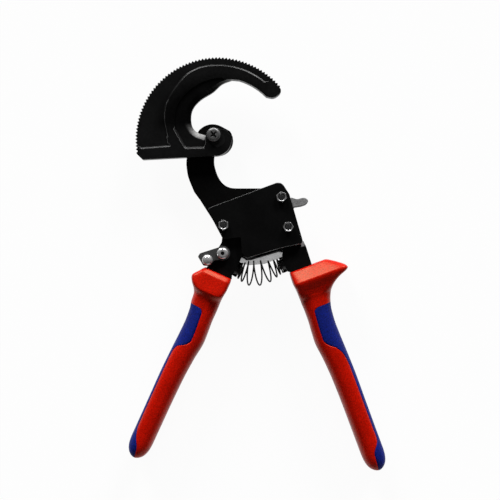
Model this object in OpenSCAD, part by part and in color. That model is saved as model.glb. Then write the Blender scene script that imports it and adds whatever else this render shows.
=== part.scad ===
// Ratchet cable cutter, lying on its back with the blade wide open. Sizes in mm.
// X is right, Y points to the head, Z is up to the front face.
// The blade pivot is the Z axis, and the tool rests on Z = 0.

/* [Blade] */
// Radius over the ratchet teeth
tip_r = 49.5; // [48:0.1:49.6]
// Angle from one ratchet tooth to the next
tooth_pitch = 2.4; // [2.4:0.1:4.8]
// Depth of a ratchet tooth
tooth_depth = 1.1; // [0.6:0.1:1.4]
// Thickness of the moving blade
blade_t = 5.8; // [5:0.1:5.9]
// Depth of the recess along the toothed rim
rim_recess = 0.5; // [0.3:0.1:1.5]
// Depth of the hollow beside the cutting edge
edge_hollow = 0.7; // [0.2:0.1:1.2]
// Width of the ground bevel
bevel_w = 3.1; // [1:0.1:3.6]
// Radius of the pivot pin
pivot_r = 4.4; // [3.6:0.1:4.6]

/* [Body] */
// Thickness of each side plate
plate_t = 3; // [2:0.1:3.2]
// Thickness of the fixed blade
fixed_t = 5; // [4:0.1:5]
// Radius of a plate bolt's thread
bolt_r = 2; // [1.6:0.05:2.1]
// Radius of a plate bolt's waist, beside the toothed rim
waist_r = 1.9; // [1.5:0.05:1.95]
// Width across the flats of a plate nut
nut_af = 5.6; // [5:0.1:6]

/* [Handles] */
// Lean of the moving (left) grip from upright
moving_lean = 24.7; // [23:0.1:26]
// Lean of the fixed (right) grip from upright
fixed_lean = 20.5; // [19:0.1:22]
// Distance of the moving grip's end from its neck
moving_end = 104; // [98:1:110]
// Distance of the fixed grip's end from its neck
fixed_end = 109; // [98:1:112]
// Exponent of the grips' rounded section
grip_square = 2.5; // [2:0.1:3.5]
// What the guards add to that exponent, for squarer shoulders
guard_square = 5; // [0:0.5:6]

/* [Return spring] */
// Diameter of the spring wire
wire_d = 0.95; // [0.7:0.05:0.95]
// Radius of the end coils
end_coil_r = 4.2; // [3.9:0.1:4.4]
// Radius of the middle coils
mid_coil_r = 7.3; // [5:0.1:7.4]
// Coils in all
coils = 8; // [6:1:8]
// Pitch of the end coils, as a share of the mean pitch
end_pitch = 0.44; // [0.42:0.01:0.7]

/* [Hidden] */
run = 0.05;
seat = 0.02;
z_rear = 2.3;
z_fixed = z_rear + plate_t;
z_blade = z_fixed + fixed_t + 0.15;
z_face = z_blade + blade_t;
z_front = 16.5;
z_top = z_front + plate_t;
z_tang = 8.1;
tang_t = 8.1;
z_mid = z_tang + tang_t / 2;
z_grip = 11.8;

// Ratchet: the rim's last tooth angle, and how far off its tips all else stays
first_tooth = 39.6;
tooth_count = floor(151.4 / tooth_pitch);
bolt_ring = 51.75;

// Plate bolts on the bolt ring at two angles, and the one through the fixed tang
bolt_a = bolt_ring * [cos(-86), sin(-86)];
bolt_b = bolt_ring * [cos(-42.3), sin(-42.3)];
bolt_c = [42.3, -52.7];
bolts = [bolt_a, bolt_b, bolt_c];

// Lock screw on the seam of the pivot pin
lock_pos = [-2.4, 2.65];
lock_r = 1.6;
lock_head_r = 4.15;

// Hinge of the moving handle, and the two pawls
handle_pos = [21, -62];
handle_pin_r = 3;
drive_pos = handle_pos + 9.5 * [cos(91.7), sin(91.7)];
hold_pos = [41.5, -43.5];
pawl_pin_r = 1.6;
pawl_z = z_fixed + fixed_t + 0.4;
pawl_t = 5.2;

// Latch
latch_pos = [3.1, -68.5];
stud_pos = [-6, -72.5];
latch_t = 2;
latch_r = 2;

// Return spring: end points on the tangs, and the bow between them
spring_a = [11, -77.6];
spring_b = [40.2, -74.7];
spring_bow = [23.6, -84.8];
// The coils turn away from the bow by this angle toward the fixed seat
seat_turn = 12.6;
function swung(d, a) = [d[0] * cos(a) - d[1] * sin(a), d[0] * sin(a) + d[1] * cos(a)];
function bow_dir(w) = swung(unit((1 - w) * (spring_bow - spring_a) + w * (spring_b - spring_bow)),
  -seat_turn * pow(w, 4));
spring_da = bow_dir(0);
spring_db = bow_dir(1);

// Grip frames: the axis point at the neck
moving_grip_pos = [-6.75, -96.7];
fixed_grip_pos = [59, -96.7];

black = [0.09, 0.09, 0.1];
dark = [0.2, 0.2, 0.21];
steel = [0.75, 0.75, 0.76];
grey = [0.5, 0.5, 0.5];
red = [0.78, 0.1, 0.02];
blue = [0.07, 0.14, 0.55];

// Small geometry helpers
function unit(v) = v / norm(v);
function left_of(v) = [-v[1], v[0]];
function polar(r, a) = r * [cos(a), sin(a)];
function arc(c, r, a0, a1, n) = [for (i = [0:n]) c + polar(r, a0 + (a1 - a0) * i / n)];

// Points of a smooth curve through control points
function knot(p, i) = p[max(0, min(len(p) - 1, i))];
function bend(a, b, c, d, t) =
  0.5 * (2 * b + (c - a) * t + (2 * a - 5 * b + 4 * c - d) * t * t + (3 * b - a - 3 * c + d) * t * t * t);
function curve(p, n) = [
  for (i = [0:len(p) - 2])
    for (j = [0:n - (i == len(p) - 2 ? 0 : 1)])
      bend(knot(p, i - 1), p[i], p[i + 1], knot(p, i + 2), j / n)
];

// Outline with rounded corners: each corner is [x, y, radius]
function corner(a, b, c, r) =
  let (
    u = unit([a[0] - b[0], a[1] - b[1]]),
    v = unit([c[0] - b[0], c[1] - b[1]]),
    half = acos(max(-1, min(1, u * v))) / 2,
    mid = unit(u + v),
    o = [b[0], b[1]] + mid * r / sin(half),
    turn = u[0] * v[1] - u[1] * v[0] > 0 ? -1 : 1,
    base = atan2(-mid[1], -mid[0]),
    sweep = 90 - half
  )
  r <= 0 ? [[b[0], b[1]]] : [for (k = [-3:3]) o + polar(r, base + turn * sweep * k / 3)];
function rounded(p) = [
  for (i = [0:len(p) - 1])
    each corner(p[(i + len(p) - 1) % len(p)], p[i], p[(i + 1) % len(p)], p[i][2])
];

module slab(p, z0, z1) {
  translate([0, 0, z0]) linear_extrude(z1 - z0) polygon(p);
}
module rod(c, r, z0, z1, fn = 48) {
  translate([c[0], c[1], z0]) cylinder(r = r, h = z1 - z0, $fn = fn);
}

// Moving blade
edge_line = curve([
  [-7.06, 2.53], [-12.48, 4.52], [-15.5, 8.26], [-16.1, 14.29], [-14.53, 19.42],
  [-10.07, 24.24], [-2.83, 28.76], [2.59, 33.59], [8.62, 36]
], 4);
arm_line = [for (a = [70:-4:42]) polar(37.9 + (70 - a) / 28, a)];
tip_line = curve([[29.12, 25.75], [32.6, 25], [34.9, 25.5], [37.2, 27.2], [38.1, 28.9], [37.8, 30.6]], 2);
rim_line = [
  for (i = [0:tooth_count - 1])
    let (a = first_tooth + i * tooth_pitch)
    each [polar(tip_r - tooth_depth, a), polar(tip_r, a + 0.42 * tooth_pitch)]
];
hub_line = concat(
  arc([-1.4, -0.2], 9.8, -93, 8, 12),
  curve([[8.2, 1.9], [5, 5.25], [1.5, 6.3], [-3, 6.4], [-6, 4.9], [-7.06, 2.53]], 3)
);
blade_outline = concat(
  rim_line, [[-48.5, -8.9], [-45.1, -12.2]], hub_line, [for (i = [1:32]) edge_line[i]], arm_line, tip_line
);
// Inner wall of the recess that the toothed rim stands in
recess_arc = concat(
  [for (a = [50.4:4:98.4]) polar(45, a)],
  curve([[-10.4, 43.7], [-18.5, 39.6], [-25.2, 31.8], [-31.2, 22.1], [-32.6, 12.5], [-30.6, 1.4]], 3)
);
recess_foot = [[-28.6, -3.6], [-34, -4], [-40, -4.45], [-46.3, -4.9]];
recess_wall = concat([polar(46.6, 48.6)], recess_arc, [[-30, -2]], recess_foot, [[-47.2, -4.2]]);
hollow_foot = [
  [-8.2, -4.35], [-12, -4.45], [-18, -4.6], [-18.9, -4.4], [-19.5, -3.8], [-22.5, 1.4], [-25.6, 6.8]
];
hollow_wall = concat(
  [[-7.3, -2.9]], hollow_foot,
  curve([[-25.75, 7.06], [-26, 14], [-24, 21], [-18.6, 28], [-12, 33], [-5, 36], [2, 37.2]], 3)
);

// A wedge swept along a line: its slope aims at z0 on the line and meets z1 at each width to its left,
// and its foot lies this far to the right of the line
module slope_cut(line, widths, z0, z1, back, foot) {
  n = len(line) - 1;
  side = [for (i = [0:n]) unit(left_of(line[min(n, i + 1)] - line[max(0, i - 1)]))];
  ring = [for (i = [0:n])
    let (p = line[i], s = side[i], w = widths[i], low = z0 - foot * (z1 - z0) / max(w, 0.5)) [
      [p[0] - back * s[0], p[1] - back * s[1], low],
      [p[0] - foot * s[0], p[1] - foot * s[1], low],
      [p[0] + 1.5 * w * s[0], p[1] + 1.5 * w * s[1], z1 + (z1 - z0) / 2],
      [p[0] - back * s[0], p[1] - back * s[1], z1 + (z1 - z0) / 2]
    ]];
  sides = [for (i = [0:n - 1]) for (k = [0:3])
    let (a = 4 * i + k, b = 4 * i + (k + 1) % 4)
    each [[a, a + 4, b], [b, a + 4, b + 4]]];
  e = 4 * n;
  polyhedron([for (r = ring) each r],
    concat([[0, 1, 2], [0, 2, 3]], sides, [[e, e + 2, e + 1], [e, e + 3, e + 2]]));
}
module moving_blade() {
  color(black) difference() {
    slab(blade_outline, z_blade, z_face);
    slab(concat(recess_wall, [[-70, -4], [-70, 70], [40, 70]]), z_face - rim_recess, z_face + 1);
    slab(concat(hollow_wall, [edge_line[30], [0, 30], [0, 14], [-7, 8], edge_line[0]]),
      z_face - edge_hollow, z_face + 1);
    // The ground cutting bevel, and the sloped walls of the panel and the hollow
    slope_cut(edge_line, [for (i = [0:32]) bevel_w * min(1, (32 - i) / 10 + 0.02)],
      z_face - edge_hollow - 2.4, z_face - edge_hollow, 2, 0.5);
    slope_cut(recess_arc, [for (p = recess_arc) 0.7], z_face - rim_recess, z_face, 0.6, -0.08);
    slope_cut(recess_foot, [for (p = recess_foot) 0.8], z_face - rim_recess, z_face, 0.6, -0.08);
    slope_cut(hollow_foot, [for (p = hollow_foot) 1.1], z_face - edge_hollow, z_face, 0.6, -0.08);
    rod([0, 0], pivot_r + seat, z_blade - 1, z_face + 1, 64);
    rod(lock_pos, lock_r + seat, z_blade + 1.4, z_face + 1, 32);
  }
}

// Pivot, turning with the moving blade in the fixed blade's bore
module pivot_pin() {
  color(dark) difference() {
    rod([0, 0], pivot_r, 0, z_face - 0.1, 64);
    rod(lock_pos, lock_r + seat, z_blade + 1.4, z_face + 1, 32);
  }
}
module pivot_washer() {
  color(dark) difference() {
    rod([0, 0], 8.4, z_fixed - 0.8, z_fixed - 0.15, 64);
    rod([0, 0], pivot_r + seat, 0, z_fixed, 64);
  }
}
module pivot_nut() {
  color(dark) difference() {
    intersection() {
      rod([0, 0], 8.2, 0, z_fixed - 0.82, 6);
      translate([0, 0, 0]) cylinder(r1 = 7.4, r2 = 7.4 + z_fixed, h = z_fixed, $fn = 64);
    }
    rod([0, 0], pivot_r + seat, -1, z_fixed, 64);
  }
}
module lock_washer() {
  color(dark) difference() {
    rod(lock_pos + [0.35, -0.3], 4.7, z_face, z_face + 0.6);
    rod(lock_pos, lock_r + 0.1, z_face - 1, z_face + 2, 32);
  }
}
module lock_screw() {
  h = z_face + 0.6;
  color(steel) translate([lock_pos[0], lock_pos[1], 0]) difference() {
    rotate_extrude($fn = 48) polygon(concat(
      [[0, z_blade + 1.6], [lock_r, z_blade + 1.6], [lock_r, h], [lock_head_r, h], [lock_head_r, h + 1]],
      [for (a = [20:20:80]) [lock_head_r - 1.7 + 1.7 * cos(a), h + 1 + 1.3 * sin(a)]],
      [[0, h + 2.4]]
    ));
    for (a = [42, 132])
      rotate(a) translate([-2.3, -0.55, h + 0.9]) cube([4.6, 1.1, 2]);
  }
}

// Fixed blade: hub, neck, concave cutting edge and a base on the bolt ring
fixed_outline = concat(
  curve([[-2.23, -9.6], [-2.25, -14.65], [-0.1, -21.6], [3.2, -26.4], [7.6, -28.75], [13, -29.15]], 4),
  [[26.7, -29.15], [33.5, -29.6]],
  arc(bolt_b, 4.2, 88, -118, 12),
  arc([0, 0], 50.3, -48.5, -79.5, 12),
  arc(bolt_a, 4.2, -40, -170, 8),
  [[-10.67, -36.4]],
  curve([[-14.3, -31.5], [-17.3, -24.3], [-18.6, -19.4], [-19.1, -12.2], [-17.2, -4], [-13.2, 3.4]], 3),
  arc([-3.2, -1.2], 11, 138, 62, 8),
  arc([0, 0], 9.2, 38, -86, 10)
);
module fixed_blade() {
  z1 = z_fixed + fixed_t;
  color(black) difference() {
    slab(fixed_outline, z_fixed, z1);
    rod([0, 0], pivot_r + run, z_fixed - 1, z1 + 1, 64);
    for (b = [bolt_a, bolt_b])
      rod(b, bolt_r + seat, z_fixed - 1, z1 + 1, 32);
    // Relief groove behind the jaw, seen from the back
    slab(rounded([[-14, -14, 2], [-6, -14, 2], [-5.5, -22, 3], [1, -33, 3], [-6, -36, 3], [-12, -28, 3]]),
      z_fixed - 1, z_fixed + 0.6);
  }
}

// Side plates
front_outline = rounded([
  [-6.6, -41.9, 2.2], [37.9, -25.3, 4.2], [43, -33.1, 3], [50.9, -60.5, 0], [50.6, -62.7, 1],
  [37.6, -65.4, 0], [17.4, -71.5, 1.2], [14.65, -68.4, 0], [14.05, -58.7, 1.5], [3.6, -59.9, 0.4]
]);
rear_outline = rounded([
  [-6.6, -41.9, 2.2], [37.9, -25.3, 4.2], [43, -33.1, 3], [50.9, -60.5, 0], [50.6, -62.7, 1],
  [41.8, -68.6, 1], [37.2, -67.6, 1], [20.4, -72.6, 1], [17.4, -72.9, 1.5], [11, -69, 3], [3, -60, 3]
]);
module front_plate() {
  color(black) difference() {
    slab(front_outline, z_front, z_top);
    for (b = bolts)
      rod(b, bolt_r + seat, z_front - 1, z_top + 1, 32);
    rod(handle_pos, handle_pin_r + seat, z_front - 1, z_top - 1, 48);
    rod(hold_pos, pawl_pin_r + seat, z_front - 1, z_top - 1, 32);
  }
}
module rear_plate() {
  color(black) difference() {
    slab(rear_outline, z_rear, z_fixed);
    for (b = bolts)
      rod(b, bolt_r + seat, z_rear - 1, z_fixed + 1, 32);
    rod(handle_pos, handle_pin_r + seat, z_rear + 1, z_fixed + 1, 48);
    rod(hold_pos, pawl_pin_r + seat, z_rear + 1, z_fixed + 1, 32);
  }
}
module plate_bolts() {
  color(dark) for (b = bolts) {
    rod(b, 3.4, 0.4, z_rear);
    translate([b[0], b[1], z_top + 1.5]) cylinder(r1 = bolt_r, r2 = bolt_r - 0.6, h = 0.6, $fn = 32);
    if (b == bolt_c) {
      rod(b, bolt_r, z_rear - 0.5, z_top + 1.5, 32);
    } else {
      rod(b, bolt_r, z_rear - 0.5, z_fixed + fixed_t, 32);
      rod(b, waist_r, z_fixed, z_top, 32);
      rod(b, bolt_r, z_front, z_top + 1.5, 32);
    }
  }
}
nut_turn = [30, 43, 3];
module plate_nuts() {
  color(steel) for (i = [0:2])
    translate([bolts[i][0], bolts[i][1], z_top]) rotate(nut_turn[i]) difference() {
      intersection() {
        cylinder(r = nut_af / 2 / cos(30), h = 2.4, $fn = 6);
        translate([0, 0, -5]) cylinder(r1 = nut_af / 2 + 7.6, r2 = nut_af / 2 + 0.2, h = 7.4, $fn = 48);
      }
      translate([0, 0, -1]) cylinder(r = bolt_r + seat, h = 5, $fn = 32);
      translate([0, 0, 2]) cylinder(r1 = bolt_r + seat, r2 = bolt_r + 0.6, h = 0.5, $fn = 32);
    }
}

// Grips: each is a loft of rounded sections along its axis.
// Rows are [distance down the grip, inner side, outer side, half thickness]
palm = [
  [4, -8.5, 8.3, 9.3], [9, -8.5, 7.2, 9.6], [18, -9.1, 6.6, 10.1], [24, -9.4, 6.7, 10.3],
  [36, -8.1, 7.1, 10.4], [50, -7.2, 7.4, 10.3], [70, -6.9, 7.2, 10.1], [88, -6.9, 7.05, 10]
];
fixed_guard = [
  [-20.9, -8.9, 14.9, 5.9], [-17.2, -9.2, 20.4, 8.9], [-13.4, -9.3, 24.6, 11.8], [-12.3, -9.2, 25, 11.8],
  [-11, -9, 23.6, 11.5], [-9.4, -8.8, 19.6, 10.9], [-7.2, -8.7, 15.5, 10.1], [-4.6, -8.7, 12.6, 9.5],
  [-0.8, -8.7, 10.2, 9.2]
];
moving_guard = [
  [-17.7, -8.4, 9.2, 7.6], [-14.9, -8.8, 11.2, 9.7], [-10.2, -8.8, 14.2, 10.6], [-7.2, -8.5, 12.9, 11.3],
  [-5, -8.3, 11.2, 11.8], [-3.9, -8.25, 10.4, 11.4], [-2.2, -8.25, 9.5, 10.2], [-0.8, -8.3, 8.9, 9.6]
];
// Edge of the blue inlay: [distance down the grip, side]
fixed_seam = [
  [4, -3.3], [23.6, -4.6], [26.6, -3.2], [30.9, 1.7], [36.3, 4.4], [44, 5.3], [90, 5.2],
  [98, 0.4], [112, -0.6]
];
moving_seam = [
  [5.4, -0.6], [25.2, -2.1], [28.3, -0.5], [32, 4.6], [36.5, 5.9], [44, 6.1], [84, 5.9], [90, 4.6],
  [98, 0.6], [112, -0.6]
];

// Value of a column at s, by straight lines between the rows
function at(tab, s, c, i = 0) =
  i >= len(tab) - 2 || s <= tab[i + 1][0]
  ? let (t = max(0, min(1, (s - tab[i][0]) / (tab[i + 1][0] - tab[i][0]))))
    tab[i][c] + (tab[i + 1][c] - tab[i][c]) * t
  : at(tab, s, c, i + 1);
// Rounded end of a grip, as a share of the full section
function cap(s, end) = s < end - 14 ? 1 : sqrt(max(0.03, 1 - pow((s - end + 14) / 14.05, 3.2)));
function power(v, e) = v < 0 ? -pow(-v, e) : pow(v, e);
// Ring of n points round the section at s, from angle t0 round to -t0
function part_ring(tab, s, end, n, t0, t1) =
  let (
    f = cap(s, end),
    c = (at(tab, s, 1) + at(tab, s, 2)) / 2,
    a = (at(tab, s, 2) - at(tab, s, 1)) / 2 * f,
    b = at(tab, s, 3) * (0.35 + 0.65 * f),
    e = 2 / (grip_square + guard_square * ease((-2 - s) / 6))
  )
  [for (k = [0:n - 1])
    let (t = t0 + (t1 - t0) * k / (n - 1))
    [c + a * power(cos(t), e), -s, b * power(sin(t), e)]];
// Angle at which the section meets the side position u
function seam_angle(tab, s, end, u) =
  let (
    c = (at(tab, s, 1) + at(tab, s, 2)) / 2,
    a = (at(tab, s, 2) - at(tab, s, 1)) / 2 * cap(s, end)
  )
  acos(power(max(-0.96, min(0.96, (u - c) / a)), grip_square / 2));
function stations(tab, end) = concat(
  [for (r = tab) if (r[0] < end - 14) r[0]],
  [for (d = [14, 11, 8, 5.5, 3.5, 2, 0.9, 0.2]) end - d]
);
module skin(rings) {
  m = len(rings);
  n = len(rings[0]);
  faces = [for (i = [0:m - 2]) for (k = [0:n - 1])
    let (a = i * n + k, b = i * n + (k + 1) % n)
    each [[a, a + n, b], [b, a + n, b + n]]];
  first = [for (k = [1:n - 2]) [0, k, k + 1]];
  last = [for (k = [1:n - 2]) [(m - 1) * n, (m - 1) * n + k + 1, (m - 1) * n + k]];
  polyhedron([for (r = rings) each r], concat(first, faces, last));
}
function seam_stations(tab, seam, end) =
  let (own = stations(tab, end))
  concat([for (s = own) if (s > seam[0][0] + 0.1 && min([for (q = seam) abs(q[0] - s)]) > 0.6) s],
    [for (q = seam) if (q[0] < end - 1 && q[0] > seam[0][0]) q[0]]);
function sorted(v) = len(v) < 2 ? v : let (m = v[floor(len(v) / 2)]) concat(
  sorted([for (x = v) if (x < m) x]), [for (x = v) if (x == m) x], sorted([for (x = v) if (x > m) x]));
// Red part of a grip: whole above the inlay, then cut at the seam
module grip_red(tab, seam, end) {
  n = 30;
  s0 = seam[0][0];
  above = [for (s = stations(tab, end)) if (s < s0 - 0.3) s];
  below = concat([s0], sorted(seam_stations(tab, seam, end)));
  skin(concat(
    [for (s = concat(above, [s0 - 0.06])) part_ring(tab, s, end, n, 180 / n, 360 - 180 / n)],
    [for (s = below)
      let (t = seam_angle(tab, s, end, at(seam, s, 1) - 0.02))
      part_ring(tab, s, end, n, t, 360 - t)]
  ));
}
module grip_blue(tab, seam, end) {
  below = concat([seam[0][0] + 0.02], sorted(seam_stations(tab, seam, end)));
  skin([for (s = below)
    let (t = seam_angle(tab, s, end, at(seam, s, 1) + 0.02)) part_ring(tab, s, end, 18, -t, t)]);
}
module at_fixed_grip() {
  translate([fixed_grip_pos[0], fixed_grip_pos[1], z_grip]) rotate(fixed_lean) children();
}
module at_moving_grip() {
  translate([moving_grip_pos[0], moving_grip_pos[1], z_grip])
    rotate(-moving_lean) mirror([1, 0, 0]) children();
}
// Flat shank of a tang inside its grip, with room around it when grown
module shank(top, grow) {
  far = (30 - top) / 88;
  slab(
    [[far - 5.6 - grow, top], [4.2 - 1.6 * far + grow, top],
      [2.6 + grow, -58 - grow], [-4.6 - grow, -58 - grow]],
    z_tang - z_grip - grow, z_tang + tang_t - z_grip + grow);
}
module fixed_grip() {
  color(red) at_fixed_grip() difference() {
    grip_red(concat(fixed_guard, palm), fixed_seam, fixed_end);
    shank(30, seat);
  }
}
module fixed_grip_inlay() {
  color(blue) at_fixed_grip() difference() {
    grip_blue(concat(fixed_guard, palm), fixed_seam, fixed_end);
    shank(30, seat);
  }
}
module moving_grip() {
  color(red) at_moving_grip() difference() {
    grip_red(concat(moving_guard, palm), moving_seam, moving_end);
    shank(30, seat);
  }
}
module moving_grip_inlay() {
  color(blue) at_moving_grip() difference() {
    grip_blue(concat(moving_guard, palm), moving_seam, moving_end);
    shank(30, seat);
  }
}

// Tangs
function on_fixed(u, s) =
  fixed_grip_pos + u * [cos(fixed_lean), sin(fixed_lean)] + s * [sin(fixed_lean), -cos(fixed_lean)];
function on_moving(u, s) =
  moving_grip_pos + u * [-cos(moving_lean), sin(moving_lean)] - s * [sin(moving_lean), cos(moving_lean)];
function spot(p, r) = [p[0], p[1], r];
fixed_tang_outline = rounded([
  [35.6, -49.2, 1.5], [47.3, -47.8, 1], [50.4, -60.3, 0], [51.6, -61.2, 0.6], [53.2, -64.5, 1],
  spot(on_fixed(5.3, -20.95), 0), spot(on_fixed(-8.3, -20.95), 0),
  spot(spring_b - 4.9 * left_of(spring_db), 0), spot(spring_b + 4.2 * left_of(spring_db), 0),
  [39.3, -66.6, 0.8], [35.2, -63, 2]
]);
module peg_hole(c, d, z, r, l) {
  translate([c[0], c[1], z]) rotate([0, 90, atan2(d[1], d[0])])
    translate([0, 0, -l]) cylinder(r = r, h = l + 1, $fn = 32);
}
// Lip under the first coil of the spring, on the rear side of a tang
module seat_lip(c, d, low, high) {
  l = left_of(d);
  z = z_fixed + 0.8;
  inner = [c - low * l - 2 * d, c + high * l - 2 * d];
  slab(concat(inner, [c + high * l + 1.9 * d, c - low * l + 1.9 * d]), z, z + 0.9);
  slab(concat(inner, [c + high * l, c - low * l]), z, z_tang + 0.5);
}
module fixed_tang() {
  color(black) difference() {
    union() {
      seat_lip(spring_b, -spring_db, 4.2, 4.9);
      slab(fixed_tang_outline, z_tang, z_tang + tang_t);
      slab(rounded([[35.6, -49.2, 1.5], [47.3, -47.8, 1], [50.1, -59.6, 1], [37, -60.5, 2]]),
        z_fixed, z_front);
      at_fixed_grip() shank(21.3, 0);
    }
    rod(bolt_c, bolt_r + seat, z_fixed - 1, z_front + 1, 32);
    peg_hole(spring_b + 4 * spring_db, spring_db, z_mid, 1.8 + seat, 5);
  }
}
module peg(c, d) {
  translate([c[0], c[1], z_mid]) rotate([0, 90, atan2(d[1], d[0])]) {
    translate([0, 0, -3.9]) cylinder(r = 1.8, h = 4, $fn = 32);
    cylinder(r1 = 3.4, r2 = 2.8, h = 3.6, $fn = 32);
  }
}
module fixed_spring_peg() {
  color(dark) peg(spring_b, -spring_db);
}
module moving_spring_peg() {
  color(dark) peg(spring_a, spring_da);
}
moving_tang_outline = concat(
  rounded([
    [5, -57.4, 0], [2.7, -59.2, 0.8], [2.4, -62, 2], spot(on_moving(8.1, -17.75), 0),
    spot(on_moving(-8.5, -17.75), 0), spot(spring_a - 4.9 * left_of(spring_da), 0),
    spot(spring_a + 4.4 * left_of(spring_da), 0), [14.7, -70.3, 0]
  ]),
  arc(handle_pos, 8.5, -118, 42, 14)
);
module moving_tang() {
  color(black) difference() {
    union() {
      seat_lip(spring_a, spring_da, 4.9, 4.4);
      slab(moving_tang_outline, z_tang, z_tang + tang_t);
      slab(concat(arc(drive_pos, 3.8, 150, 10, 10), arc(handle_pos, 8.5, -10, -180, 12)),
        z_tang, z_tang + 2.4);
      at_moving_grip() shank(18.1, 0);
    }
    // Room for the drive pawl above the thin ear
    translate([4, -56.2, z_tang + 2.4]) cube([30, 12, 9]);
    rod(handle_pos, handle_pin_r + run, z_tang - 1, z_tang + 9, 48);
    rod(drive_pos, pawl_pin_r + seat, z_tang - 1, z_tang + 4, 32);
    rod(latch_pos, latch_r + seat, z_tang + 1, z_tang + 9, 32);
    peg_hole(spring_a - 4 * spring_da, -spring_da, z_mid, 1.8 + seat, 5);
  }
}

// Bare steel plate behind the moving tang, seen under the front plate
module guide_plate() {
  color([0.72, 0.71, 0.7]) difference() {
    slab(rounded([[8, -57.6, 2], [25.2, -57.6, 2], [25.2, -66, 2], [20.6, -72, 1.2], [36.6, -66.8, 1.4],
      [39.3, -67.6, 1.4], [38.9, -71.3, 1.6], [33.8, -72.9, 1], [28.5, -75, 1.5], [18.2, -75.9, 1.2],
      [16.6, -75.2, 1], [13.4, -74.4, 1], [8.5, -70, 3]]), z_fixed, z_fixed + 0.6);
    rod(handle_pos, handle_pin_r + seat, 0, 20, 48);
  }
}
module handle_pivot_pin() {
  color(dark) rod(handle_pos, handle_pin_r, z_rear + 1.05, z_top - 1.05, 48);
}

// Holding pawl in one piece with the release lever
module holding_pawl() {
  nose = polar(50.25, -54.1);
  heel = polar(53.2, -54.1);
  color(grey) difference() {
    union() {
      rod(hold_pos, 3.4, pawl_z, pawl_z + pawl_t);
      slab(rounded([spot(nose, 0.2), spot(heel, 0.3), [40.6, -46.75, 0], [44.6, -44.8, 0], [46.1, -41, 0.5],
        [50.6, -40.3, 6], [53.2, -39.3, 2], [54.5, -37.4, 1.2], [54.2, -36.2, 0.8], [52.6, -35.1, 1.2],
        [50.9, -35.1, 1.5], [47.8, -36, 4], [44.2, -34.8, 0.6], [42.6, -40.3, 2]]), pawl_z, pawl_z + pawl_t);
    }
    rod(hold_pos, pawl_pin_r + run, 0, 20, 32);
  }
}
module holding_pawl_pin() {
  color(dark) {
    rod(hold_pos, pawl_pin_r, z_rear + 1.05, z_top - 1.05, 32);
    rod(hold_pos, 3, z_fixed, pawl_z - 0.1, 32);
  }
}
module strip(p, w, z0, z1) {
  side = [for (i = [0:len(p) - 1]) unit(left_of(p[min(len(p) - 1, i + 1)] - p[max(0, i - 1)]))];
  n = len(p) - 1;
  slab(concat([for (i = [0:n]) p[i] + side[i] * w / 2], [for (i = [n:-1:0]) p[i] - side[i] * w / 2]), z0, z1);
}
module holding_pawl_spring() {
  color(steel) strip(curve([[39.5, -48.4], [36.5, -47.4], [34.6, -47], [32.6, -47.4]], 4),
    0.5, pawl_z + 0.6, pawl_z + 4.6);
}

// Drive pawl on the ear of the moving tang
module drive_pawl() {
  nose = polar(50.4, -76.35);
  heel = polar(53.4, -76.35);
  color(grey) difference() {
    union() {
      rod(drive_pos, 3.3, pawl_z, pawl_z + pawl_t);
      slab(rounded([
        spot(nose, 0.2), spot(heel, 0.3), spot(drive_pos + [-1.2, -3.07], 0), spot(drive_pos + [1, 3.1], 0)
      ]), pawl_z, pawl_z + pawl_t);
    }
    rod(drive_pos, pawl_pin_r + run, 0, 20, 32);
  }
}
module drive_pawl_pin() {
  color(dark) rod(drive_pos, pawl_pin_r, z_tang + 0.1, pawl_z + pawl_t + 0.2, 32);
}
module drive_pawl_spring() {
  color(steel) strip(curve([[7.2, -57.2], [7.3, -55.9], [8.2, -54.2], [9.8, -53.4], [11.6, -53.4]], 4),
    0.5, pawl_z + 0.6, pawl_z + 4.6);
}

// Handle latch
z_latch = z_tang + tang_t + 0.15;
module latch_plate() {
  color(dark) difference() {
    union() {
      rod(latch_pos, 4.4, z_latch, z_latch + latch_t);
      slab(rounded([[3.2, -64.1, 0], [-10.5, -68.5, 1.2], [-11.7, -70.5, 0.8], [-8.4, -76, 1.6],
        [-4.6, -76, 2], [-1.8, -72.6, 2], [1.6, -72.6, 0]]), z_latch, z_latch + latch_t);
    }
    rod(latch_pos, latch_r + run, 0, 30, 32);
    rod(stud_pos, 1.6 + seat, 0, 30, 32);
  }
}
module latch_screw() {
  h = z_latch + latch_t + 0.1;
  color(steel) translate([latch_pos[0], latch_pos[1], 0]) difference() {
    rotate_extrude($fn = 48) polygon(concat(
      [[0, z_tang + 1.1], [latch_r, z_tang + 1.1], [latch_r, h], [3.5, h], [3.5, h + 0.6]],
      [for (a = [15:15:75]) [1.7 + 1.8 * cos(a), h + 0.6 + 1.5 * sin(a)]],
      [[1.7, h + 2.1], [0, h + 2.1]]
    ));
    translate([0, 0, h + 0.6]) cylinder(r = 1.15, h = 4, $fn = 32);
  }
}
module latch_stud() {
  h = z_latch + latch_t;
  color(steel) translate([stud_pos[0], stud_pos[1], 0]) rotate_extrude($fn = 48) polygon(concat(
    [[0, z_latch + 0.05], [1.6, z_latch + 0.05], [1.6, h], [3.2, h], [3.2, h + 1]],
    [for (a = [15:15:75]) [3.2 * cos(a), h + 1 + 1.9 * sin(a)]],
    [[0, h + 2.9]]
  ));
}

// Return spring: one unbroken wire, coiled round a bowed axis.
// w runs 0..1 along the axis; the coils are close at both ends and open between
spring_steps = coils * 12;
function bow_at(w) = (1 - w) * (1 - w) * spring_a + 2 * w * (1 - w) * spring_bow + w * w * spring_b;
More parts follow.
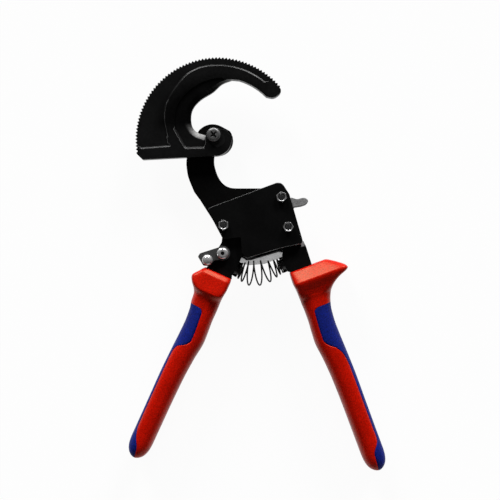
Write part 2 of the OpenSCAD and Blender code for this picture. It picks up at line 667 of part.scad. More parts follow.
// Share of the axis reached after t turns: the pitch rises as a cubed sine
function axis_share(t) =
  let (x = t / coils, c = cos(180 * x))
  end_pitch * x + (1 - end_pitch) * (0.5 - 0.75 * c + 0.25 * c * c * c);
function ease(x) = let (v = max(0, min(1, x))) v * v * (3 - 2 * v);
function coil_r(w) =
  end_coil_r + (mid_coil_r - end_coil_r) * ease(min((w - 0.03) / 0.3, (0.97 - w) / 0.45));
lead = 2.1 / 31.5;
function coil_w(t) = lead + (1 - 2 * lead) * axis_share(t);
function radial(t) =
  let (d = bow_dir(coil_w(t)), a = 360 * t + 180)
  [-d[1] * cos(a), d[0] * cos(a), sin(a)];
// The open coils lean a little along the axis
function coil_lean(t) = pow(sin(180 * t / coils), 2) * (0.3 * cos(360 * t) + 0.7 * sin(360 * t));
function coil_point(t) =
  let (w = coil_w(t), c = bow_at(w), d = bow_dir(w))
  [c[0], c[1], z_mid] + coil_r(w) * radial(t) + coil_lean(t) * [d[0], d[1], 0];
start_dir = [spring_da[0], spring_da[1], 0];
stop_dir = [spring_db[0], spring_db[1], 0];
first_p = coil_point(0);
last_p = coil_point(coils);
function lift(p) = [p[0], p[1], z_mid];
// Straight ends, one wire thick and a little more, square on each tang
start_l = (first_p - lift(spring_a)) * start_dir - 0.06;
stop_l = (lift(spring_b) - last_p) * stop_dir - 0.06;
wire_path = concat(
  [first_p - start_dir * start_l, first_p - start_dir * (start_l - wire_d)],
  [for (i = [0:spring_steps]) coil_point(coils * i / spring_steps)],
  [last_p + stop_dir * (stop_l - wire_d), last_p + stop_dir * stop_l]
);
wire_out = concat([radial(0), radial(0)],
  [for (i = [0:spring_steps]) radial(coils * i / spring_steps)],
  [radial(coils), radial(coils)]);
wire_n = len(wire_path);
wire_dir = [for (i = [0:wire_n - 1])
  i == 0 || i == 1 ? start_dir : i >= wire_n - 2 ? stop_dir : unit(wire_path[i + 1] - wire_path[i - 1])];
wire_rings = [for (i = [0:wire_n - 1])
  let (t = wire_dir[i], n = unit(wire_out[i] - (wire_out[i] * t) * t), b = cross(t, n))
  [for (k = [0:5]) wire_path[i] + wire_d / 2 * (n * cos(60 * k) + b * sin(60 * k))]];
wire_gap = min([for (i = [0:wire_n - 1]) for (j = [i + 7:1:wire_n - 1])
  norm(wire_path[i] - wire_path[j])]) - wire_d;
module return_spring() {
  echo(least_gap_of_the_spring_wire_to_itself = wire_gap);
  color(black) skin(wire_rings);
}

moving_blade();
pivot_pin();
pivot_washer();
pivot_nut();
lock_washer();
lock_screw();
fixed_blade();
front_plate();
rear_plate();
plate_bolts();
plate_nuts();
fixed_tang();
fixed_spring_peg();
fixed_grip();
fixed_grip_inlay();
guide_plate();
handle_pivot_pin();
holding_pawl();
holding_pawl_pin();
holding_pawl_spring();
drive_pawl();
drive_pawl_pin();
drive_pawl_spring();
moving_tang();
moving_spring_peg();
moving_grip();
moving_grip_inlay();
latch_plate();
latch_screw();
latch_stud();
return_spring();
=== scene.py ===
import math

import bpy
import bmesh
import numpy as np
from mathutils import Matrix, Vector


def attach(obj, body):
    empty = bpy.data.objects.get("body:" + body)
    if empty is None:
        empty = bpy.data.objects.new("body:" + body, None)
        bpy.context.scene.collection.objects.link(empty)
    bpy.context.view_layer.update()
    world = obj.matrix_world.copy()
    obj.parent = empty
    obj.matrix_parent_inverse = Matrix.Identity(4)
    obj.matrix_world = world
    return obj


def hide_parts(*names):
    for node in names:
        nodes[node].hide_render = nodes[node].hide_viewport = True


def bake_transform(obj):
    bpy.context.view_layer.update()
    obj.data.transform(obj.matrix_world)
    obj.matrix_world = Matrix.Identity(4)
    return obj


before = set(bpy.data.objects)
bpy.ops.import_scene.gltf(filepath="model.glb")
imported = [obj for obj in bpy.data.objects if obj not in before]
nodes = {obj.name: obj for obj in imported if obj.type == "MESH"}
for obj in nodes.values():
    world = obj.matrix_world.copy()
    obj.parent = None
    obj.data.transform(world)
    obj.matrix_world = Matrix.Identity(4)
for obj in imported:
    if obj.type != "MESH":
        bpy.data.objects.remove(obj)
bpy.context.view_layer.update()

MM = 0.001


# Procedural materials

class Shader:
    """A Principled material with helpers for the procedural nodes that feed it."""

    def __init__(self, name, color, rough, metallic=0.0, spec=0.5):
        self.mat = bpy.data.materials.new(name)
        self.mat.use_nodes = True
        self.tree = self.mat.node_tree
        self.bsdf = next(n for n in self.tree.nodes if n.type == "BSDF_PRINCIPLED")
        self.bsdf.inputs["Base Color"].default_value = (*color, 1)
        self.bsdf.inputs["Roughness"].default_value = rough
        self.bsdf.inputs["Metallic"].default_value = metallic
        self.bsdf.inputs["Specular IOR Level"].default_value = spec
        self.mat.diffuse_color = (*color, 1)
        self.normal = None
        self.coord = self.new("ShaderNodeTexCoord")

    def new(self, kind, **props):
        n = self.tree.nodes.new(kind)
        for k, v in props.items():
            setattr(n, k, v)
        return n

    def link(self, a, b):
        self.tree.links.new(a, b)

    def stretch(self, scale, turn=(0, 0, 0)):
        m = self.new("ShaderNodeMapping")
        m.inputs["Scale"].default_value = scale
        m.inputs["Rotation"].default_value = [math.radians(t) for t in turn]
        self.link(self.coord.outputs["Object"], m.inputs["Vector"])
        return m.outputs["Vector"]

    def noise(self, scale, detail=3, rough=0.55, vector=None):
        n = self.new("ShaderNodeTexNoise")
        n.inputs["Scale"].default_value = scale
        n.inputs["Detail"].default_value = detail
        n.inputs["Roughness"].default_value = rough
        self.link(vector or self.coord.outputs["Object"], n.inputs["Vector"])
        return n.outputs["Fac"]

    def ramp(self, fac, stops):
        r = self.new("ShaderNodeValToRGB")
        while len(r.color_ramp.elements) < len(stops):
            r.color_ramp.elements.new(0.5)
        for e, (pos, col) in zip(r.color_ramp.elements, stops):
            e.position = pos
            e.color = (*col, 1)
        self.link(fac, r.inputs["Fac"])
        return r.outputs["Color"]

    def span(self, fac, lo, hi, out_lo, out_hi):
        m = self.new("ShaderNodeMapRange")
        m.inputs["From Min"].default_value = lo
        m.inputs["From Max"].default_value = hi
        m.inputs["To Min"].default_value = out_lo
        m.inputs["To Max"].default_value = out_hi
        self.link(fac, m.inputs["Value"])
        return m.outputs["Result"]

    def math(self, op, a, b=None):
        m = self.new("ShaderNodeMath", operation=op)
        for i, v in enumerate((a, b)):
            if v is None:
                continue
            if isinstance(v, (int, float)):
                m.inputs[i].default_value = v
            else:
                self.link(v, m.inputs[i])
        return m.outputs["Value"]

    def mix(self, fac, a, b):
        m = self.new("ShaderNodeMix", data_type="RGBA")
        self.link(fac, m.inputs["Factor"])
        for sock, v in ((m.inputs[6], a), (m.inputs[7], b)):
            if isinstance(v, (tuple, list)):
                sock.default_value = (*v, 1)
            else:
                self.link(v, sock)
        return m.outputs[2]

    def place(self):
        """X, Y and Z on the part."""
        xyz = self.new("ShaderNodeSeparateXYZ")
        self.link(self.coord.outputs["Object"], xyz.inputs[0])
        return [xyz.outputs[k] for k in "XYZ"]

    def away(self, x, y, centre):
        """Distance in X and Y from a point in millimetres."""
        dx, dy = (self.math("SUBTRACT", v, c * MM) for v, c in zip((x, y), centre))
        return self.math("SQRT", self.math("ADD", self.math("MULTIPLY", dx, dx), self.math("MULTIPLY", dy, dy)))

    def color(self, sock):
        self.link(sock, self.bsdf.inputs["Base Color"])

    def rough(self, sock):
        self.link(sock, self.bsdf.inputs["Roughness"])

    def bump(self, height, strength, distance):
        b = self.new("ShaderNodeBump")
        b.inputs["Strength"].default_value = strength
        b.inputs["Distance"].default_value = distance
        self.link(height, b.inputs["Height"])
        if self.normal:
            self.link(self.normal, b.inputs["Normal"])
        self.normal = b.outputs["Normal"]
        self.link(self.normal, self.bsdf.inputs["Normal"])

    def rounded(self, radius):
        """Shades sharp edges as if they had this radius."""
        b = self.new("ShaderNodeBevel", samples=6)
        b.inputs["Radius"].default_value = radius
        self.normal = b.outputs["Normal"]
        self.link(self.normal, self.bsdf.inputs["Normal"])

    def edge(self, radius, width=0.9):
        """Share of convex edge, for wear and for painted edge highlights."""
        b = self.new("ShaderNodeBevel", samples=4)
        b.inputs["Radius"].default_value = radius
        g = self.new("ShaderNodeNewGeometry")
        d = self.new("ShaderNodeVectorMath", operation="DOT_PRODUCT")
        self.link(b.outputs["Normal"], d.inputs[0])
        self.link(g.outputs["Normal"], d.inputs[1])
        return self.span(d.outputs["Value"], 1.0, width, 0.0, 1.0)


def black_steel(name, tone, rough, spec, tint=(1, 1, 1.02), scale=900):
    """Blackened steel, a little worn on its edges."""
    s = Shader(name, tuple(tone * t for t in tint), rough, 0.0, spec)
    big = s.noise(60, 4)
    fine = s.noise(scale, 4)
    both = s.math("ADD", s.math("MULTIPLY", big, 0.5), s.math("MULTIPLY", fine, 0.5))
    lo = tuple(tone * 0.6 * t for t in tint)
    hi = tuple(tone * 1.7 * t for t in tint)
    worn = tuple((tone * 5 + 0.015) * t for t in tint)
    base = s.ramp(both, [(0.3, lo), (0.7, hi)])
    s.base = s.mix(s.math("MULTIPLY", s.edge(0.2 * MM), 0.35), base, worn)
    s.color(s.base)
    s.rough(s.span(both, 0.3, 0.7, rough - 0.07, rough + 0.09))
    s.rounded(0.3 * MM)
    s.bump(fine, 0.12, 0.05 * MM)
    return s


def blade_shade_highlights_and_bare_steel(s):
    """Painted shade: deeper black toward the edge. Painted highlights: bright lips round the panel and the
    hollow. Bare steel by the hub, with a painted sheen on it.
    """
    x, y, z = s.place()
    face_z, hollow_low, hollow_high = 15.95, 10.6, 15.6
    hollow_centre, hollow_r, ground_r = (-5.85, 13.9), 10.9, 15

    def below(v, limit):
        return s.math("LESS_THAN", v, limit * MM)

    def above(v, limit):
        return s.math("GREATER_THAN", v, limit * MM)

    def both(*parts):
        out = parts[0]
        for p in parts[1:]:
            out = s.math("MULTIPLY", out, p)
        return out

    r = s.away(x, y, (0, 0))
    # Painted shade: a metal share on the black base darkens this zone, so its facets read near-black under the
    # key light
    painted_shade_zone = both(s.span(r, 34 * MM, 41 * MM, 1.0, 0.0), s.span(y, 4 * MM, 10 * MM, 0.0, 1.0))
    s.link(s.math("MULTIPLY", painted_shade_zone, 0.72), s.bsdf.inputs["Metallic"])
    # Painted highlights: bright lips along the rim, the foot and the flank of the panel stand in for edges lit
    # by the key light; noise breaks them up
    rim = both(above(r, 41.5), below(r, 46.5))
    foot = both(below(x, -7), above(y, -6), below(y, 7.5))
    flank = both(below(x, -28.5), above(y, -6), below(y, 24), below(r, 46.5))
    zone = both(s.math("MAXIMUM", rim, s.math("MAXIMUM", foot, flank)), above(z, face_z))
    patchy = s.span(s.noise(160, 3), 0.38, 0.6, 0.5, 1.0)
    lip_highlight = both(s.edge(0.35 * MM, 0.93), zone, patchy)
    s.base = s.mix(lip_highlight, s.base, (0.38, 0.38, 0.38))
    # Bare ground steel on the bevel by the hub, with a painted sheen: the lighter streaked colour stands in for
    # its highlight
    streak = s.span(s.noise(700, 3, 0.6, s.stretch((1, 1, 0.1), (0, 0, 35))), 0.35, 0.65, 0.45, 1.0)
    ground_sheen = both(s.span(s.away(x, y, hollow_centre), hollow_r * MM, ground_r * MM, 1.0, 0.0),
                  s.span(y, 4 * MM, 10 * MM, 1.0, 0.0), s.span(x, -8.5 * MM, -5.5 * MM, 1.0, 0.0))
    bare_sheen = both(ground_sheen, streak, below(z, hollow_high), above(z, hollow_low))
    s.color(s.mix(bare_sheen, s.base, (0.42, 0.415, 0.41)))


def edge_highlight_and_wear_line(s, p, q, half, tone):
    """Painted highlight with some wear: a bright edge within a narrow band along the line from p to q."""
    x, y, _ = s.place()
    d = math.hypot(q[0] - p[0], q[1] - p[1])
    nx, ny = -(q[1] - p[1]) / d, (q[0] - p[0]) / d
    off = s.math("ADD", s.math("MULTIPLY", x, nx), s.math("MULTIPLY", y, ny))
    off = s.math("ABSOLUTE", s.math("SUBTRACT", off, (p[0] * nx + p[1] * ny) * MM))
    band = s.span(off, half * 0.8 * MM, half * MM, 1.0, 0.0)
    patchy = s.span(s.noise(220, 3), 0.35, 0.6, 0.4, 1.0)
    highlight_and_wear = s.math("MULTIPLY", s.math("MULTIPLY", s.edge(0.3 * MM, 0.95), band), patchy)
    s.base = s.mix(highlight_and_wear, s.base, (tone,) * 3)
    s.color(s.base)


def shade_lower_edge(s, radius, tone):
    """Painted shade: a dark band where the edges turn away from the head of the tool."""
    b = s.new("ShaderNodeBevel", samples=6)
    b.inputs["Radius"].default_value = radius * MM
    part = s.new("ShaderNodeSeparateXYZ")
    s.link(b.outputs["Normal"], part.inputs[0])
    s.base = s.mix(s.span(part.outputs["Y"], -0.1, -0.45, 0.0, 1.0), s.base, (tone,) * 3)
    s.color(s.base)


def pale_spot(s, c, r, tone):
    """Lighter patch with a ragged rim round a point."""
    x, y, _ = s.place()
    ragged = s.math("ADD", s.away(x, y, c), s.span(s.noise(700, 3), 0.3, 0.7, -1.2 * MM, 1.2 * MM))
    s.base = s.mix(s.span(ragged, r * 0.6 * MM, r * MM, 1.0, 0.0), s.base, (tone,) * 3)
    s.color(s.base)


def steel(name, tone, rough, scale=2500, bumpy=0.08, metallic=1.0, cavity=0.0, patches=(250, 0.15)):
    """Bare steel or nylon with patches (scale, share); cavity paints shade into hollows within that many
    millimetres.
    """
    s = Shader(name, (tone, tone, tone * 1.01), rough, metallic, 0.4)
    fine = s.noise(scale, 3)
    big = s.noise(patches[0], 3)
    lo, hi = tone * (1 - patches[1]), min(1, tone * (1 + 0.55 * patches[1]))
    base = s.ramp(big, [(0.3, (lo,) * 3), (0.7, (hi,) * 3)])
    if cavity:
        # Painted shade: hollows such as sockets and recesses get a near-black colour from the occlusion
        shade = s.new("ShaderNodeAmbientOcclusion", samples=8, only_local=True)
        shade.inputs["Distance"].default_value = cavity * MM
        base = s.mix(s.span(shade.outputs["AO"], 0.45, 0.9, 1.0, 0.0), base, (tone * 0.02,) * 3)
    s.base = base
    s.color(base)
    s.rough(s.span(fine, 0.3, 0.7, rough - 0.06, rough + 0.08))
    s.rounded(0.2 * MM)
    s.bump(fine, bumpy, 0.03 * MM)
    return s


def plastic(name, color, rough, grain, depth, vary, spec):
    """Moulded plastic with a fine grain."""
    s = Shader(name, color, rough, 0.0, spec)
    big = s.noise(45, 3)
    fine = s.noise(grain, 2, 0.6)
    lo = tuple(c * (1 - vary) for c in color)
    hi = tuple(min(1, c * (1 + vary)) for c in color)
    both = s.math("ADD", s.math("MULTIPLY", big, 0.25), s.math("MULTIPLY", fine, 0.75))
    s.color(s.ramp(both, [(0.34, lo), (0.66, hi)]))
    s.rough(s.span(big, 0.3, 0.7, rough - 0.04, rough + 0.06))
    s.bump(fine, 1.0, depth)
    return s


m_blade = black_steel("blade_black", 0.003, 0.36, 0.2)
# Painted shade, highlights and sheen on the moving blade, with bare steel by the hub
blade_shade_highlights_and_bare_steel(m_blade)
m_fixed = black_steel("fixed_blade_black", 0.0015, 0.45, 0.08, (1.08, 1, 0.97))
m_plate = black_steel("plate_black", 0.0018, 0.42, 0.12, scale=1500)
# Painted highlights on the front plate's edges: the top edge as the key light catches it; the lower edge a
# bright double line, partly painted reflection and partly wear
edge_highlight_and_wear_line(m_plate, (-6.6, -41.9), (37.9, -25.3), 0.9, 0.3)
edge_highlight_and_wear_line(m_plate, (17.4, -71.5), (37.6, -65.4), 1.2, 0.6)
m_tang = black_steel("tang_black", 0.0024, 0.45, 0.1)
pale_spot(m_tang, (51.4, -62.3), 2.1, 0.4)
m_washer = black_steel("washer_black", 0.004, 0.4, 0.25)
m_pin = black_steel("pin_black", 0.006, 0.38, 0.3)
m_bolt = black_steel("bolt_black", 0.02, 0.36, 0.4)
m_dark = steel("dark_steel", 0.14, 0.42, metallic=0.6, cavity=1.6)
m_bright = steel("bright_steel", 0.6, 0.26, metallic=0.6, cavity=1.8)
m_nut = steel("nut_steel", 0.3, 0.32, metallic=0.6, cavity=1.2)
m_guide = steel("guide_nylon", 0.6, 0.55, 1200, 0.2, 0.0)
m_guide.bsdf.inputs["Transmission Weight"].default_value = 0.8
m_guide.bsdf.inputs["IOR"].default_value = 1.3
m_lever = steel("lever_steel", 0.27, 0.5, 1800, 0.5, 0.1, patches=(900, 0.45))
# Painted shade along the lever's lower edges
shade_lower_edge(m_lever, 1.5, 0.035)
m_latch = steel("latch_steel", 0.06, 0.45, 1500, 0.3, 0.2)
m_spring = black_steel("spring_wire", 0.002, 0.45, 0.06)
m_red = plastic("red_plastic", (0.47, 0.0042, 0.0002), 0.36, 1300, 0.055 * MM, 0.36, 0.2)
m_red.bsdf.inputs["Specular Tint"].default_value = (1, 0.85, 0.48, 1)
m_blue = plastic("blue_plastic", (0.001, 0.008, 0.15), 0.6, 1300, 0.12 * MM, 0.5, 0.16)

for n, m in {
    "moving_blade": m_blade, "pivot_pin": m_pin, "pivot_washer": m_dark, "pivot_nut": m_dark,
    "lock_washer": m_washer, "lock_screw": m_dark, "fixed_blade": m_fixed, "front_plate": m_plate,
    "rear_plate": m_plate, "plate_bolts": m_bolt, "plate_nuts": m_nut, "fixed_tang": m_tang,
    "fixed_spring_peg": m_pin, "guide_plate": m_guide, "handle_pivot_pin": m_dark,
    "holding_pawl": m_lever, "holding_pawl_pin": m_dark, "holding_pawl_spring": m_bright,
    "drive_pawl": m_lever, "drive_pawl_pin": m_dark, "drive_pawl_spring": m_bright,
    "moving_tang": m_tang, "moving_spring_peg": m_pin, "latch_plate": m_latch,
    "latch_screw": m_bright, "latch_stud": m_bright,
}.items():
    o = nodes[n]
    o.data.materials.clear()
    o.data.materials.append(m.mat)


def soften(name, width):
    """Small rounded edges on a rigid CAD node."""
    o = nodes[name]
    w = o.modifiers.new("weld", "WELD")
    w.merge_threshold = 2e-6
    d = o.modifiers.new("flat", "DECIMATE")
    d.decimate_type = "DISSOLVE"
    d.angle_limit = math.radians(0.5)
    b = o.modifiers.new("round", "BEVEL")
    b.width = width * MM
    b.segments = 2
    b.limit_method = "ANGLE"
    b.angle_limit = math.radians(35)
    b.harden_normals = False
    b.use_clamp_overlap = True
    t = o.modifiers.new("tri", "TRIANGULATE")
    t.keep_custom_normals = False


for n, w in (("front_plate", 0.3), ("latch_plate", 0.25), ("fixed_tang", 0.3), ("holding_pawl", 1.0)):
    soften(n, w)


# Smooth grips from the same rows as the solids

def pchip(xs, ys, x):
    xs, ys = np.asarray(xs, float), np.asarray(ys, float)
    h = np.diff(xs)
    d = np.diff(ys) / h
    m = np.zeros_like(ys)
    for i in range(1, len(xs) - 1):
        if d[i - 1] * d[i] > 0:
            w1, w2 = 2 * h[i] + h[i - 1], h[i] + 2 * h[i - 1]
            m[i] = (w1 + w2) / (w1 / d[i - 1] + w2 / d[i])
    m[0], m[-1] = d[0], d[-1]
    x = np.clip(x, xs[0], xs[-1])
    i = np.clip(np.searchsorted(xs, x) - 1, 0, len(h) - 1)
    t = (x - xs[i]) / h[i]
    return ((2 * t**3 - 3 * t**2 + 1) * ys[i] + (t**3 - 2 * t**2 + t) * h[i] * m[i]
            + (-2 * t**3 + 3 * t**2) * ys[i + 1] + (t**3 - t**2) * h[i] * m[i + 1])


# Rows: distance along the grip, inner and outer side, half thickness; seams: distance along, place across
GRIP_Z, TIP, INSET, GROOVE, SEAM_GAP, SEAM_R = 11.8, 14, 0.05, 0.22, 0.004, 3.0

PALM = [
    [4, -8.5, 8.3, 9.3], [9, -8.5, 7.2, 9.6], [18, -9.1, 6.6, 10.1], [24, -9.4, 6.7, 10.3],
    [36, -8.1, 7.1, 10.4], [50, -7.2, 7.4, 10.3], [70, -6.9, 7.2, 10.1], [88, -6.9, 7.05, 10],
]
FIXED_GUARD = [
    [-20.9, -8.9, 14.9, 5.9], [-17.2, -9.2, 20.4, 8.9], [-13.4, -9.3, 24.6, 11.8], [-12.3, -9.2, 25, 11.8],
    [-11, -9, 23.6, 11.5], [-9.4, -8.8, 19.6, 10.9], [-7.2, -8.7, 15.5, 10.1], [-4.6, -8.7, 12.6, 9.5],
    [-0.8, -8.7, 10.2, 9.2],
]
MOVING_GUARD = [
    [-17.7, -8.4, 9.2, 7.6], [-14.9, -8.8, 11.2, 9.7], [-10.2, -8.8, 14.2, 10.6], [-7.2, -8.5, 12.9, 11.3],
    [-5, -8.3, 11.2, 11.8], [-3.9, -8.25, 10.4, 11.4], [-2.2, -8.25, 9.5, 10.2], [-0.8, -8.3, 8.9, 9.6],
]
FIXED_SEAM = [
    [4, -3.3], [23.6, -4.6], [26.6, -3.2], [30.9, 1.7], [36.3, 4.4], [44, 5.3], [90, 5.2],
    [98, 0.4], [112, -0.6],
]
MOVING_SEAM = [
    [5.4, -0.6], [25.2, -2.1], [28.3, -0.5], [32, 4.6], [36.5, 5.9], [44, 6.1], [84, 5.9], [90, 4.6],
    [98, 0.6], [112, -0.6],
]


class Grip:
    """One handle's grip; flip mirrors it for the left handle."""

    def __init__(self, guard, seam, end, pos, lean, flip):
        rows = np.array(guard + PALM, float)
        self.s, self.u0, self.u1, self.b = rows.T
        self.top = rows[0][0]
        self.seam = np.array(seam, float)
        self.end = end
        self.pos, self.lean, self.flip = pos, math.radians(lean), flip

    def thick(self, s):
        """Half thickness: flat facets with small rounds on the guard, one smooth curve below it."""
        near = np.linspace(s - 0.35, s + 0.35, 9)
        flat = float(np.mean(np.interp(near, self.s, self.b)))
        w = min(1, max(0, (s + 2.5) / 2.5))
        return flat + (float(pchip(self.s, self.b, s)) - flat) * w

    def section(self, s):
        f = 1.0
        if s > self.end - TIP:
            f = math.sqrt(max(0.03, 1 - ((s - self.end + TIP) / (TIP + 0.05)) ** 3.2))
        u0, u1 = pchip(self.s, self.u0, s), pchip(self.s, self.u1, s)
        b = self.thick(s) * (0.35 + 0.65 * f)
        g = min(1, max(0, (-2 - s) / 6))
        n = 2.5 + 5 * g * g * (3 - 2 * g)
        return float((u0 + u1) / 2), float((u1 - u0) / 2 * f) - INSET, float(b), n

    def seam_at(self, s):
        u = float(pchip(self.seam[:, 0], self.seam[:, 1], s))
        d = s - self.seam[0][0]
        if d < SEAM_R:
            u += SEAM_R - math.sqrt(max(0, SEAM_R * SEAM_R - (SEAM_R - max(0, d)) ** 2))
        return u

    def cut(self, s):
        """Angle on the section where the seam lies."""
        c, a, _, n = self.section(s)
        v = max(-0.97, min(0.97, (self.seam_at(s) - c) / a))
        return math.acos(math.copysign(abs(v) ** (n / 2), v))

    def point(self, s, t, inset=0.0):
        c, a, b, n = self.section(s)
        e = 2 / n
        ct, st = math.cos(t), math.sin(t)
        u = c + (a - inset) * math.copysign(abs(ct) ** e, ct)
        z = (b - inset) * math.copysign(abs(st) ** e, st)
        return self.place(u, s, z)

    def place(self, u, s, z):
        ca, sa = math.cos(self.lean), math.sin(self.lean)
        if self.flip:
            x, y = -u * ca - s * sa, u * sa - s * ca
        else:
            x, y = u * ca + s * sa, u * sa - s * ca
        return Vector(((self.pos[0] + x) * MM, (self.pos[1] + y) * MM, (GRIP_Z + z) * MM))


def spread(lo, hi, step):
    n = max(1, int(math.ceil((hi - lo) / step)))
    return [lo + (hi - lo) * i / n for i in range(n)]


def loft(name, rings, mat, narrower=()):
    """Closed skin over rings; the narrower rings carry on from the first points of the last ring."""
    bm = bmesh.new()
    rows = [[bm.verts.new(p) for p in r] for r in rings + list(narrower)]
    for r0, r1 in zip(rows, rows[1:]):
        n = len(r1)
        for k in range(n):
            j = (k + 1) % n
            if j == 0 and len(r0) > n:
                ledge = [r0[k]] + [r0[i] for i in range(n, len(r0))] + [r0[0]]
                for p, q in zip(ledge, ledge[1:]):
                    bm.faces.new((p, r1[0], q))
                bm.faces.new((r0[k], r1[k], r1[0]))
            else:
                bm.faces.new((r0[k], r1[k], r1[j], r0[j]))
    for r in (rows[0], rows[-1]):
        mid = bm.verts.new(sum((v.co for v in r), Vector()) / len(r))
        for k in range(len(r)):
            bm.faces.new((r[k], r[(k + 1) % len(r)], mid))
    bmesh.ops.recalc_face_normals(bm, faces=bm.faces)
    me = bpy.data.meshes.new(name)
    bm.to_mesh(me)
    bm.free()
    me.polygons.foreach_set("use_smooth", [True] * len(me.polygons))
    me.materials.append(mat)
    o = bpy.data.objects.new(name, me)
    bpy.context.collection.objects.link(o)
    return o


def tail(end):
    """Places of the closer rings on the rounded end."""
    return [end - d for d in (14, 12.5, 11, 9.5, 8, 6.7, 5.5, 4.4, 3.5, 2.7, 2, 1.4, 0.9, 0.5, 0.2)]


def grip_pair(grip, red_node, blue_node, body):
    s0 = grip.seam[0][0]
    n, m = 84, 44
    top_r = 0.7
    t0 = grip.cut(s0)
    angles = [t0 + SEAM_GAP + (2 * math.pi - 2 * t0 - 2 * SEAM_GAP) * k / (n - 1) for k in range(n)]
    angles += [-t0 + 2 * t0 * (k + 1) / (m + 1) for k in range(m)]
    rings = []
    for a in (0, 30, 60):
        rings.append([grip.point(grip.top + top_r * (1 - math.cos(math.radians(a))) * 0.9, t,
                                 top_r * (1 - math.sin(math.radians(a))) + 0.02) for t in angles])
    for s in spread(grip.top + top_r, s0 - 0.05, 0.3) + [s0 - 0.05]:
        rings.append([grip.point(s, t) for t in angles])
    below = (spread(s0, s0 + 2, 0.15) + spread(s0 + 2, 40, 0.4)
             + spread(40, grip.end - TIP, 1.0) + tail(grip.end))

    def part(s, n, lo, hi):
        ring = []
        for k in range(n):
            t = lo + (hi - lo) * k / (n - 1)
            ring.append(grip.point(s, t, GROOVE if k in (0, n - 1) else 0.0))
        return ring

    lower = []
    for s in below:
        t = grip.cut(s)
        lower.append(part(s, n, t + SEAM_GAP, 2 * math.pi - t - SEAM_GAP))
    red = loft(red_node + "_skin", rings, m_red.mat, lower)
    rings = []
    for s in [s0 + 0.05] + below[1:]:
        t = grip.cut(s)
        rings.append(part(s, m, -t + SEAM_GAP, t - SEAM_GAP))
    blue = loft(blue_node + "_skin", rings, m_blue.mat)
    for o, node, slot in ((red, red_node, "red_grip"), (blue, blue_node, "blue_grip")):
        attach(o, body)
        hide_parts(node)


fixed = Grip(FIXED_GUARD, FIXED_SEAM, 109, (59, -96.7), 20.5, False)
grip_pair(fixed, "fixed_grip", "fixed_grip_inlay", "frame")
moving = Grip(MOVING_GUARD, MOVING_SEAM, 104, (-6.75, -96.7), 24.7, True)
grip_pair(moving, "moving_grip", "moving_grip_inlay", "moving_handle")


# Return spring: one round wire along the same coiled path

A, B, BOW = np.array([11, -77.6]), np.array([40.2, -74.7]), np.array([23.6, -84.8])
WIRE, END_R, MID_R, TURNS, END_PITCH, SEAT_TURN = 0.95, 4.2, 7.3, 8, 0.44, 12.6
Z_MID, LEAD = 12.15, 2.1 / 31.5


def unit(v):
    return v / np.linalg.norm(v)


def along(t):
    x = t / TURNS
    c = math.cos(math.pi * x)
    return LEAD + (1 - 2 * LEAD) * (END_PITCH * x + (1 - END_PITCH) * (0.5 - 0.75 * c + 0.25 * c ** 3))


def bow_dir(w):
    d = (1 - w) * (BOW - A) + w * (B - BOW)
    a = math.atan2(d[1], d[0]) - math.radians(SEAT_TURN) * w ** 4
    return np.array([math.cos(a), math.sin(a), 0.0])


def coil(t):
    w = along(t)
    c = (1 - w) ** 2 * A + 2 * w * (1 - w) * BOW + w * w * B
    d = bow_dir(w)
    x = max(0, min(1, (w - 0.03) / 0.3, (0.97 - w) / 0.45))
    r = END_R + (MID_R - END_R) * x * x * (3 - 2 * x)
    a = 2 * math.pi * t
    lean = math.sin(math.pi * t / TURNS) ** 2 * (0.3 * math.cos(a) + 0.7 * math.sin(a))
    out = np.array([d[1] * math.cos(a), -d[0] * math.cos(a), -math.sin(a)])
    return np.append(c, Z_MID) + r * out + lean * d


def spring_path():
    d0, d1 = bow_dir(0), bow_dir(1)
    steps, clear = 320, 0.06
    pts = [coil(TURNS * i / steps) for i in range(steps + 1)]
    l0 = np.dot(pts[0] - np.append(A, Z_MID), d0) - clear
    l1 = np.dot(np.append(B, Z_MID) - pts[-1], d1) - clear
    return ([pts[0] - d0 * l0, pts[0] - d0 * (l0 - WIRE)] + pts
            + [pts[-1] + d1 * (l1 - WIRE), pts[-1] + d1 * l1])


def tube(name, pts, radius, sides, mat):
    rings = []
    up = np.array([0.3, 0.2, 1.0])
    for i, p in enumerate(pts):
        t = unit(pts[min(len(pts) - 1, i + 1)] - pts[max(0, i - 1)])
        up = unit(up - np.dot(up, t) * t)
        side = np.cross(t, up)
        rings.append([Vector((p + radius * (up * math.cos(a) + side * math.sin(a))) * MM)
                      for a in (2 * math.pi * k / sides for k in range(sides))])
    return loft(name, rings, mat)


spring = tube("return_spring_wire", spring_path(), WIRE / 2, 10, m_spring.mat)
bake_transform(spring)
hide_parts("return_spring")


# Floor, light and camera

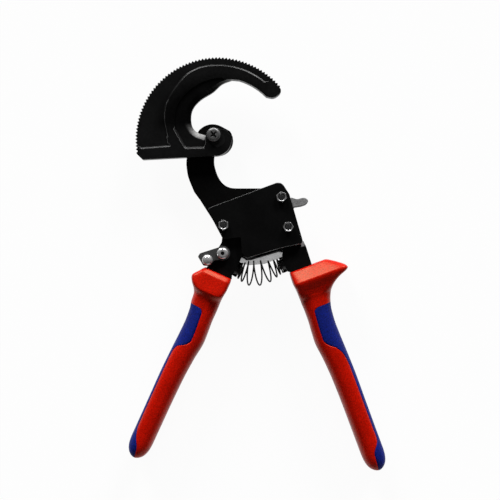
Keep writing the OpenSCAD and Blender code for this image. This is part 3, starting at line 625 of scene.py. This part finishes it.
FLOOR, FLOOR_WHITE = 30, 0.95
floor_mesh = bpy.data.meshes.new("floor")
corners = [(x * FLOOR, y * FLOOR, 0) for x, y in ((-1, -1), (1, -1), (1, 1), (-1, 1))]
floor_mesh.from_pydata(corners, [], [(0, 1, 2, 3)])
floor = bpy.data.objects.new("floor", floor_mesh)
floor.location.z = -0.0002
bpy.context.collection.objects.link(floor)
m_floor = Shader("floor_paper", (0.96, 0.96, 0.96), 0.9, 0, 0.0)
floor_mesh.materials.append(m_floor.mat)
glow = m_floor.new("ShaderNodeEmission")
glow.inputs["Color"].default_value = (1, 1, 1, 1)
glow.inputs["Strength"].default_value = 1.0
path = m_floor.new("ShaderNodeLightPath")
seen = m_floor.math("MAXIMUM", path.outputs["Is Camera Ray"], path.outputs["Is Glossy Ray"])
seen = m_floor.math("MAXIMUM", seen, path.outputs["Is Transmission Ray"])
blend_floor = m_floor.new("ShaderNodeMixShader")
m_floor.link(m_floor.math("MULTIPLY", seen, FLOOR_WHITE), blend_floor.inputs[0])
m_floor.link(m_floor.bsdf.outputs["BSDF"], blend_floor.inputs[1])
m_floor.link(glow.outputs["Emission"], blend_floor.inputs[2])
out = next(n for n in m_floor.tree.nodes if n.type == "OUTPUT_MATERIAL")
m_floor.link(blend_floor.outputs["Shader"], out.inputs["Surface"])

world = bpy.data.worlds.new("studio")
bpy.context.scene.world = world
world.use_nodes = True
back = next(n for n in world.node_tree.nodes if n.type == "BACKGROUND")
back.inputs["Color"].default_value = (1, 1, 1, 1)
back.inputs["Strength"].default_value = 0.06


def sun(name, toward, strength, angle):
    light = bpy.data.lights.new(name, "SUN")
    light.energy = strength
    light.angle = math.radians(angle)
    o = bpy.data.objects.new(name, light)
    o.rotation_euler = Vector(toward).to_track_quat("Z", "Y").to_euler()
    bpy.context.collection.objects.link(o)


for side in (-1, 1):
    sun("key", (0.36 * side, 0.88, 0.32), 3.1, 20)
sun("fill", (0.2, -0.98, 0.035), 0.7, 50)

# Photo frame in pixels, the blade pivot's pixel, and millimetres per pixel at height Z_SCALE
FRAME, PIVOT, SENSOR = 500, (217.7, 139.7), 36
DIST, SCALE, Z_SCALE = 600.0, 0.603, 14.0
cam_data = bpy.data.cameras.new("camera")
cam_data.sensor_width = SENSOR
cam_data.lens = SENSOR * DIST / (FRAME * SCALE)
cam_data.clip_start = 0.01
cam_data.clip_end = 90
cam = bpy.data.objects.new("camera", cam_data)
cam.location = ((FRAME / 2 - PIVOT[0]) * SCALE * MM, (PIVOT[1] - FRAME / 2) * SCALE * MM, (Z_SCALE + DIST) * MM)
bpy.context.collection.objects.link(cam)
bpy.context.scene.camera = cam
bpy.context.scene.view_settings.view_transform = "Standard"
